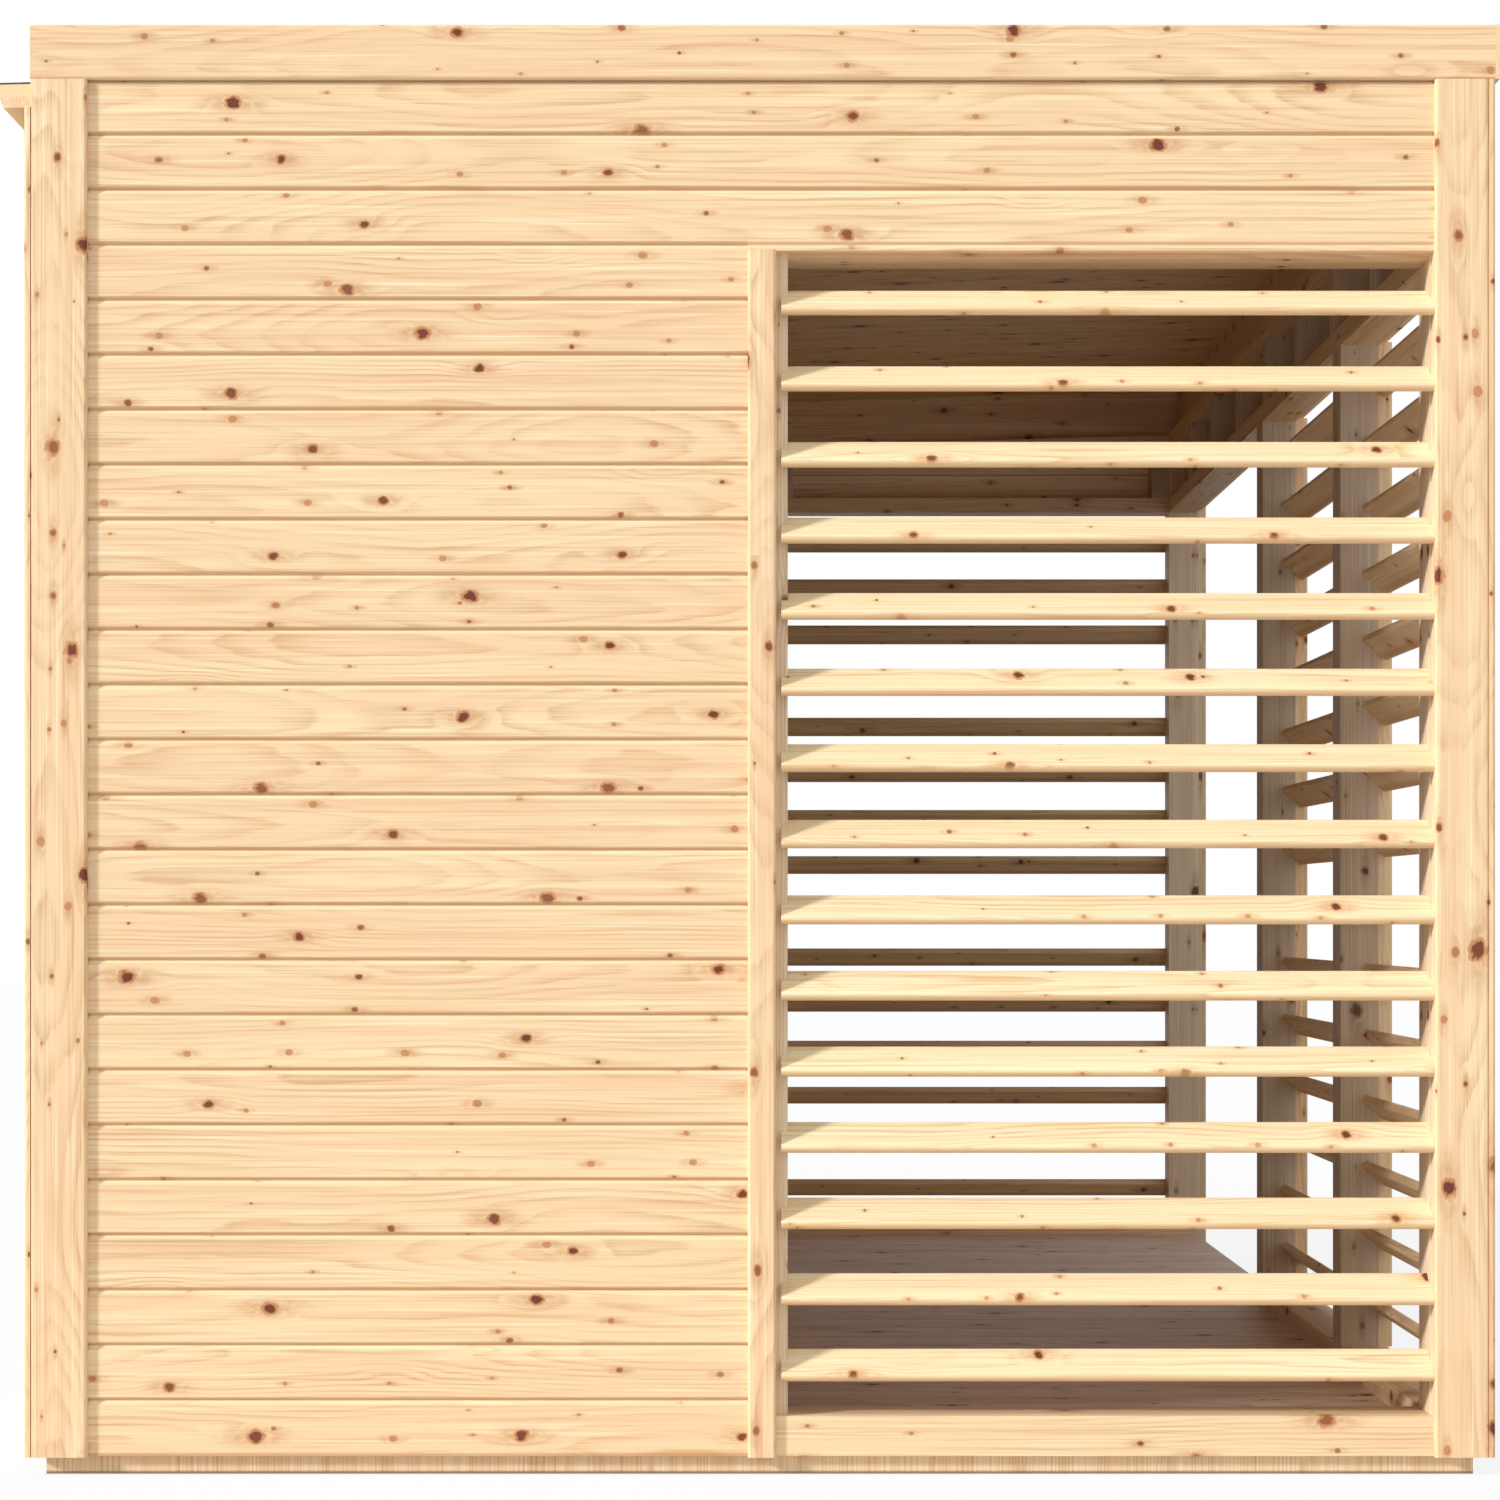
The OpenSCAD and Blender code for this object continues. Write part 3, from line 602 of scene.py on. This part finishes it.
# %% Wall boards
BOARD_COVER_MM = 88.0
BOARDS_START_MM = 32.0
board_rows = (BOARD_COVER_MM, BOARDS_START_MM)
# joint sets the strength of the painted shade and highlight on the lips of the joints
wall_looks = {"joint": 0.8, "lean_mm": 48.0, "roam_mm": 62.0}
side_boards = planed_pine("Planed pine boards, side walls", "X", "Z", *board_rows, 11, **wall_looks)
end_boards = planed_pine("Planed pine boards, end walls", "Y", "Z", *board_rows, 47, **wall_looks)
for side in ("near", "far"):
    dress(side_boards, side + "_wall_boards", side + "_top_boards")
dress(end_boards, "back_wall_boards", "front_top_boards")

SILL_ROW_MM = 200.0
SILL_MARGIN_MM = 5.0  # the row starts this far below the board
sill_row = (SILL_ROW_MM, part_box("near_sill_board")[0].z * 1000 - SILL_MARGIN_MM)
sill_x = planed_pine("Planed pine sill board, sides", "X", "Z", *sill_row, 13)
sill_y = planed_pine("Planed pine sill board, front", "Y", "Z", *sill_row, 17)
dress(sill_x, "near_sill_board", "far_sill_board")
dress(sill_y, "front_sill_board")

# %% [markdown]
# ## Trims and fascias
#
# Upright trims are the same pine turned on end, so the grain runs along Z. Each trim is one
# board, and its row is wide enough to take it whole. The heart is kept close to the middle
# and strays far, which draws the tall pointed arches of a board cut near the heart. Fascias
# lie level, one board high. Both show an edge beside the face, so the grid of the knots moves
# with depth too, and a knot runs round the corner.

# %% Trims and fascias
BACK_TRIM_MM = 90.0
FRONT_TRIM_MM = 96.0
BAY_TRIM_ROW_MM = 60.0
BAY_TRIM_MARGIN_MM = 7.0
COVER_ROW_MM = 600.0
FASCIA_MM = 90.0
trim_looks = {"knot_cell_mm": (330.0, 92.0), "knot_mm": 14.0, "depth_share": 1.0}
trim_looks.update({"lean_mm": 20.0, "roam_mm": 150.0})
back_row = (BACK_TRIM_MM, round(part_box("near_wall_boards")[0].x * 1000))
front_row = (FRONT_TRIM_MM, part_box("near_front_trim")[0].x * 1000)
bay_row = (BAY_TRIM_ROW_MM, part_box("side_bay_trims")[0].x * 1000 - BAY_TRIM_MARGIN_MM)
back_trims = planed_pine("Planed pine trim, back", "Z", "X", *back_row, 5, **trim_looks)
front_trims = planed_pine("Planed pine trim, front", "Z", "X", *front_row, 15, **trim_looks)
bay_trims = planed_pine("Planed pine trim, bay", "Z", "X", *bay_row, 19, **trim_looks)
covers = planed_pine("Planed pine cover, front", "Z", "Y", COVER_ROW_MM, 0.0, 23, **trim_looks)

fascia_looks = {"knot_cell_mm": (420.0, 90.0), "depth_share": 1.0}
fascia_row = (FASCIA_MM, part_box("side_fascias")[0].z * 1000)
level_x = planed_pine("Planed pine fascia, sides", "X", "Z", *fascia_row, 31, **fascia_looks)
level_y = planed_pine("Planed pine fascia, ends", "Y", "Z", *fascia_row, 37, **fascia_looks)
dress(back_trims, "near_back_trim", "far_back_trim")
dress(front_trims, "near_front_trim", "far_front_trim")
dress(bay_trims, "side_bay_trims")
dress(covers, "front_post_covers")
dress(level_x, "side_fascias")
dress(level_y, "front_fascia", "eave_board")

# %% [markdown]
# ## Louvre slats
#
# A slat is a thin board, so its knots are small and close together. Each slat has a row of
# its own, as high as the pitch of the slats, with the slat in the middle. The slats of the
# sunny side get a paler, yellower copy of the pine as painted light, and those of the far side a darker
# copy as painted shade, because one wall is seen in full sun and the other from inside, against the
# light.

# %% Louvre slats
SLAT_PITCH_MM = 121.8
# a paler, yellower copy of the pine, painted sunlight for the near slats; the next is a darker copy,
# painted shade for the far slats
SLAT_PINE_PAINTED_SUNLIT = ("#FFF0C4", "#FFF7D4", "#FCE0B4", "#E2AE78", "#C4854F", "#6E3624")
SLAT_PINE_PAINTED_SHADE = ("#EBCB9C", "#F2D8AC", "#DEB78A", "#B88D60", "#A4754C", "#5F3D2C")
lowest, highest = (corner.z * 1000 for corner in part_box("near_slats"))
slat_mm = (highest - lowest) % SLAT_PITCH_MM
slat_rows = (SLAT_PITCH_MM, lowest - (SLAT_PITCH_MM - slat_mm) / 2)
# slat_edge is the strength of the painted shade on the lower edge of each slat
slat_looks = {"knot_cell_mm": (420.0, 60.0), "knot_mm": 7.0, "slat_mm": slat_mm, "slat_edge": 0.6}
near_looks = {**slat_looks, "tones": SLAT_PINE_PAINTED_SUNLIT}
far_looks = {**slat_looks, "tones": SLAT_PINE_PAINTED_SHADE}
near_slats = planed_pine("Planed pine slat, near", "X", "Z", *slat_rows, 61, **near_looks)
far_slats = planed_pine("Planed pine slat, far", "X", "Z", *slat_rows, 63, **far_looks)
front_slats = planed_pine("Planed pine slat, front", "Y", "Z", *slat_rows, 67, **slat_looks)
dress(near_slats, "near_slats")
dress(far_slats, "far_slats")
dress(front_slats, "front_corner_slats", "front_middle_slats")
print("height of a slat:", round(slat_mm, 1), "mm")

# %% [markdown]
# ## Posts, studs, plates and rafters
#
# The frame timber comes in three batches. Posts are pale and a little grey, studs are greyer and
# darker, and plates, rails and rafters are a warmer brown. The grey of the posts and the greyer,
# darker tone of the studs are painted shade, for the dim, cool light inside the room. Posts and studs
# stand, so their rows are counted along X, and plates and rafters lie, so theirs are counted along Z.
# The rows are wide, and they start where no edge of one falls inside a post or a plate, because a stick
# comes from one tree.

# %% Posts, studs, plates and rafters
FRAME_ROW_MM = 300.0
POSTS_FROM_MM = -30.0
PLATES_FROM_MM = -80.0
# the grey of the posts and the greyer, darker studs are painted shade for the dim light inside the room
POST_TONES = ("#F4DEBE", "#FAE9CE", "#E8CBA8", "#C7A582", "#AE8662", "#6E4A38")
STUD_TONES_PAINTED_SHADE = ("#D8C4AA", "#E0D0BA", "#CCB496", "#A88E70", "#967858", "#55402F")
RAIL_TONES = ("#EACBA0", "#F3D9B0", "#DBB588", "#B58A62", "#A4754C", "#5F3D2C")
post_looks = {"tones": POST_TONES, "depth_share": 1.0}
stud_looks = {"tones": STUD_TONES_PAINTED_SHADE, "depth_share": 1.0}
rail_looks = {"tones": RAIL_TONES, "depth_share": 1.0}
post_rows = (FRAME_ROW_MM, POSTS_FROM_MM)
posts = planed_pine("Planed pine post", "Z", "X", *post_rows, 71, **post_looks)
studs = planed_pine("Planed pine stud", "Z", "X", *post_rows, 77, **stud_looks)
plate_rows = (FRAME_ROW_MM, PLATES_FROM_MM)
rails_x = planed_pine("Planed pine frame, along the sides", "X", "Z", *plate_rows, 73, **rail_looks)
rails_y = planed_pine("Planed pine frame, along the ends", "Y", "Z", *plate_rows, 79, **rail_looks)
dress(posts, "back_corner_posts", "front_corner_posts", "side_bay_posts", "front_corner_packers")
dress(studs, "louvre_post", "door_post", "side_studs", "back_studs")
dress(studs, "side_header_studs", "front_header_studs")
dress(rails_x, "side_sole_plates", "side_top_plates", "side_head_rails", "rafters")
dress(rails_y, "end_sole_plates", "end_top_plates", "front_head_rail")

# %% [markdown]
# ## Base, floor and roof boards
#
# Bearers and joists are sawn and not planed, so they are rougher and duller. A coarse saw
# leaves its marks across a bearer, so its lines are drawn upright, and its foot gets a painted
# shade where it stands on the ground. The floor boards are pinker and their rings stand out, as they do
# once a floor has been walked on. The boards under the roof are a coarser grade with large, dark knots.
# Floor and roof boards are counted from the inner face of the near wall.

# %% Base, floor and roof boards
FLOOR_BOARD_MM = 120.0
ROOF_BOARD_MM = 115.0
ROOF_BOARDS = 26  # this many rows reach the far edge
BEARER_ROW_MM = 600.0
BEARERS_FROM_MM = -20.0
JOIST_ROW_MM = 225.0
BASE_TONES = ("#FBDFB8", "#FFEBC8", "#EBC79C", "#C89B6A", "#B07A4A", "#6A4630")
FLOOR_TONES = ("#E8CDB8", "#F4DEC9", "#D4B296", "#AB846B", "#A07256", "#5E3A2A")
ROOF_TONES = ("#E8BF88", "#F0CE9C", "#D9AC72", "#A57444", "#8E5A34", "#3F2218")
base_looks = {"tones": BASE_TONES, "roughness": 0.8}
# the foot of each bearer gets a painted shade 6 mm high
bearer_looks = {**base_looks, "foot_shade_mm": 6.0}
floor_looks = {"tones": FLOOR_TONES, "joint": 0.5, "figure": 1.0}
roof_looks = {"tones": ROOF_TONES, "knot_cell_mm": (380.0, 115.0), "knot_mm": 15.0, "clear": 0.1}
roof_looks.update({"joint": 0.7, "roof_boards": ROOF_BOARDS})
bearer_rows = (BEARER_ROW_MM, BEARERS_FROM_MM)
inner_face = round(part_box("floor_boards")[0].y * 1000)
floor_rows = (FLOOR_BOARD_MM, inner_face)
roof_rows = (ROOF_BOARD_MM, inner_face)
bearers = planed_pine("Sawn pine bearer", "Z", "X", *bearer_rows, 83, **bearer_looks)
joists = planed_pine("Sawn pine joist", "Y", "X", JOIST_ROW_MM, 0.0, 89, **base_looks)
floor = planed_pine("Planed pine floor board", "X", "Y", *floor_rows, 97, **floor_looks)
roof = planed_pine("Planed pine roof board", "X", "Y", *roof_rows, 101, **roof_looks)
dress(bearers, "side_bearers")
dress(joists, "cross_joists")
dress(floor, "floor_boards")
dress(roof, "roof_deck")

# %% [markdown]
# ## Roofing felt
#
# The roof is covered with bitumen felt: a tar-soaked mat with crushed slate rolled into its
# face. The grit is what the eye reads, as a dark grey-green surface with paler and darker
# specks and no gloss. Grit is about 1 mm across; here each grain is 3 mm, as coarse as it
# needs to show.

# %% Roofing felt
GRIT_MM = 3.0
GRIT_RELIEF_MM = 1.0
RELIEF_OF_FELT = 0.6
CLOUDS_PER_M = 2.5  # slow changes from a darker to a paler patch
CLOUD_DETAIL = 4.0
SPECKS_FROM = 0.6  # this share of the grains is no paler than the patch they lie in
SPECK_STRENGTH = 0.5
FELT_ROUGHNESS = (0.82, 0.98)
felt = bpy.data.materials.new("Slate-faced bitumen felt")
felt.use_nodes = True
felt_tree = felt.node_tree
felt_tree.nodes.clear()
place = add(felt_tree, "TexCoord").outputs["Object"]
grit = add(felt_tree, "TexVoronoi", wires={"Vector": place, "Scale": 1000 / GRIT_MM})
speck = add(felt_tree, "SeparateColor", wires={"Color": grit.outputs["Color"]})
clouds = {"Vector": place, "Scale": CLOUDS_PER_M, "Detail": CLOUD_DETAIL}
cloudy = add(felt_tree, "TexNoise", wires=clouds)
patches = layer(felt_tree, cloudy, linear("#3A3D3A"), linear("#565A55"))
paleness = {0: speck, 1: SPECKS_FROM, 2: 1.0, 4: SPECK_STRENGTH}
pale_specks = add(felt_tree, "MapRange", wires=paleness)
slate = layer(felt_tree, pale_specks, patches, linear("#8A8F88"))
relief = {"Strength": RELIEF_OF_FELT, "Distance": GRIT_RELIEF_MM / 1000}
pitted = add(felt_tree, "Bump", wires={**relief, "Height": grit.outputs["Distance"]})
spread = {0: speck.outputs[1], 3: FELT_ROUGHNESS[0], 4: FELT_ROUGHNESS[1]}
rough = add(felt_tree, "MapRange", wires=spread)
surface = {"Base Color": slate, "Roughness": rough, "Normal": pitted}
face = add(felt_tree, "BsdfPrincipled", wires=surface)
add(felt_tree, "OutputMaterial", wires={"Surface": face})
dress(felt, "roof_felt")

# %% [markdown]
# ## Is every piece dressed?
#
# A CAD piece that no cell has named would keep its plain drawing colour. The finishes above
# all have pine or felt in their names, so a look through the slots finds what was missed.

# %% Is every piece dressed?
dressed_in = ("pine", "felt")
bare = []
for name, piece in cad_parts.items():
    for slot in piece.material_slots:
        if not any(word in slot.material.name for word in dressed_in):
            bare.append(name)
print("pieces still without a finish:", bare)

# %% [markdown]
# ## Light from the sky
#
# Pale wood is easy to burn out, so the light is plain: a soft sky and one low sun. The sky is
# brighter on the sunny side, and dimmer and cooler behind the building, as a north sky is,
# which lets the room behind the slats stay dim. The backdrop looks plain white to the camera
# and to glossy rays without lighting the wood: a Light Path node tells the two apart.

# %% Light from the sky
SKY_NEAR = 0.8  # strength of the sky on the sunny side
SKY_FAR = 0.35  # and behind the building
SKY_FAR_TINT = (0.78, 0.93, 1.22, 1.0)
TINT_RANGE = (-0.3, 0.5)  # lean of the direction to the far side: no tint here, and full tint
WHITE = (1.0, 1.0, 1.0, 1.0)


def seen_directly(tree):
    """1 for camera, glossy and transmitted rays, otherwise 0."""
    ray = add(tree, "LightPath")
    camera_ray, glossy_ray = ray.outputs["Is Camera Ray"], ray.outputs["Is Glossy Ray"]
    seen = add(tree, "Math", {"operation": "MAXIMUM"}, {0: camera_ray, 1: glossy_ray})
    through = ray.outputs["Is Transmission Ray"]
    return add(tree, "Math", {"operation": "MAXIMUM"}, {0: seen, 1: through})


world = bpy.data.worlds.new("Even white sky")
bpy.context.scene.world = world
world.use_nodes = True
sky_tree = world.node_tree
sky_tree.nodes.clear()
towards = add(sky_tree, "SeparateXYZ", wires={"Vector": add(sky_tree, "TexCoord").outputs["Generated"]})
far_side = towards.outputs["Y"]
level = add(sky_tree, "MapRange", wires={0: far_side, 1: -1.0, 2: 1.0, 3: SKY_NEAR, 4: SKY_FAR})
behind = add(sky_tree, "MapRange", wires={0: far_side, 1: TINT_RANGE[0], 2: TINT_RANGE[1]})
tint = layer(sky_tree, behind, WHITE, SKY_FAR_TINT)
lighting = add(sky_tree, "Background", wires={"Color": tint, "Strength": level})
backdrop = add(sky_tree, "Background", wires={"Color": WHITE, "Strength": 1.0})
both = add(sky_tree, "MixShader", wires={0: seen_directly(sky_tree), 1: lighting, 2: backdrop})
add(sky_tree, "OutputWorld", wires={"Surface": both})
print("the sky fades from", SKY_NEAR, "to", SKY_FAR)

# %% [markdown]
# ## The floor of the studio
#
# The building stands on white paper. To the eye the paper is nearly white everywhere, by a
# share of its own light, and it still keeps a soft shadow. To the wood it is a floor that
# throws light back at the near wall and hardly any from behind the building, so that the
# underside of the roof stays dark.

# %% The floor of the studio
PAPER_SEEN = 0.95  # how light the paper is to the eye
PAPER_GLOW = 0.85  # the part of it that is its own light and takes no shadow
PAPER_NEAR = 0.7  # how much light it throws back in front of the near wall
PAPER_FAR = 0.04  # and from the middle of the building on
NEAR_WALL_Y = -1.5
PAPER_REACH = 30.0
PAPER_Z = -0.001  # just under the building, so that the two never share a face

floor_mesh = bpy.data.meshes.new("Studio_floor")
across_paper = (-PAPER_REACH, PAPER_REACH)
corners = [(x, y, PAPER_Z) for y in across_paper for x in across_paper]
floor_mesh.from_pydata(corners, [], [(0, 1, 3, 2)])
studio_floor = bpy.data.objects.new("Studio_floor", floor_mesh)
bpy.context.scene.collection.objects.link(studio_floor)

paper = bpy.data.materials.new("White studio paper")
paper.use_nodes = True
paper_tree = paper.node_tree
paper_tree.nodes.clear()
seen = seen_directly(paper_tree)
spot = add(paper_tree, "SeparateXYZ", wires={"Vector": add(paper_tree, "TexCoord").outputs["Object"]})
fading = {0: spot.outputs["Y"], 1: NEAR_WALL_Y, 2: 0.0, 3: PAPER_NEAR, 4: PAPER_FAR}
bounce = add(paper_tree, "MapRange", wires=fading)
shade = add(paper_tree, "MapRange", wires={0: seen, 3: bounce, 4: PAPER_SEEN})
matt = add(paper_tree, "BsdfDiffuse", wires={"Color": shade})
glow = add(paper_tree, "Emission", wires={"Color": WHITE, "Strength": 1.0})
share = add(paper_tree, "Math", {"operation": "MULTIPLY"}, {0: seen, 1: PAPER_GLOW})
sheet = add(paper_tree, "MixShader", wires={0: share, 1: matt, 2: glow})
add(paper_tree, "OutputMaterial", wires={"Surface": sheet})
floor_mesh.materials.append(paper)
print("paper is", 2 * PAPER_REACH, "m square")

# %% [markdown]
# ## Low sun
#
# One low sun stands before the near wall, far to the left. It rakes along the wall, so that
# every trim and joint draws a thin shadow, and it lights the upper faces of the slats. A real
# sun is half a degree wide, and this one is wider, to soften the edges of the shadows.

# %% Low sun
SUN_LEVEL = 2.95
SUN_FROM = Vector((-2.1, -1.0, 1.0))
SUN_WIDTH_DEG = 7.0
lamp = bpy.data.lights.new("Low_sun", "SUN")
lamp.energy = SUN_LEVEL
lamp.angle = math.radians(SUN_WIDTH_DEG)
sun = bpy.data.objects.new("Low_sun", lamp)
sun.rotation_euler = (-SUN_FROM).to_track_quat("-Z", "Y").to_euler()
bpy.context.scene.collection.objects.link(sun)
height = math.degrees(math.asin(SUN_FROM.normalized().z))
print("sun stands", round(height, 1), "degrees high")

# %% [markdown]
# ## Camera
#
# In a catalogue a building is shown square on, so that its boards stay level. The camera
# looks straight along Y at a little under a metre above the ground, and the lens is shifted
# instead of tilted, which keeps the posts upright. The view transform is Standard, so the
# colours of the wood come out as they were written.

# %% Camera
LENS_MM = 67.8
FILM_MM = 36.0
EYE = (0.0132, -6.006, 0.900)
LENS_SHIFT = (-0.0053, 0.1087)  # sideways and up, in widths of the picture
lens = bpy.data.cameras.new("Square_on")
lens.lens = LENS_MM
lens.sensor_width = FILM_MM
lens.shift_x = LENS_SHIFT[0]
lens.shift_y = LENS_SHIFT[1]
camera = bpy.data.objects.new("Square_on", lens)
camera.location = EYE
camera.rotation_euler = (math.radians(90.0), 0.0, 0.0)
bpy.context.scene.collection.objects.link(camera)
bpy.context.scene.camera = camera
bpy.context.scene.view_settings.view_transform = "Standard"
print("camera at", EYE)
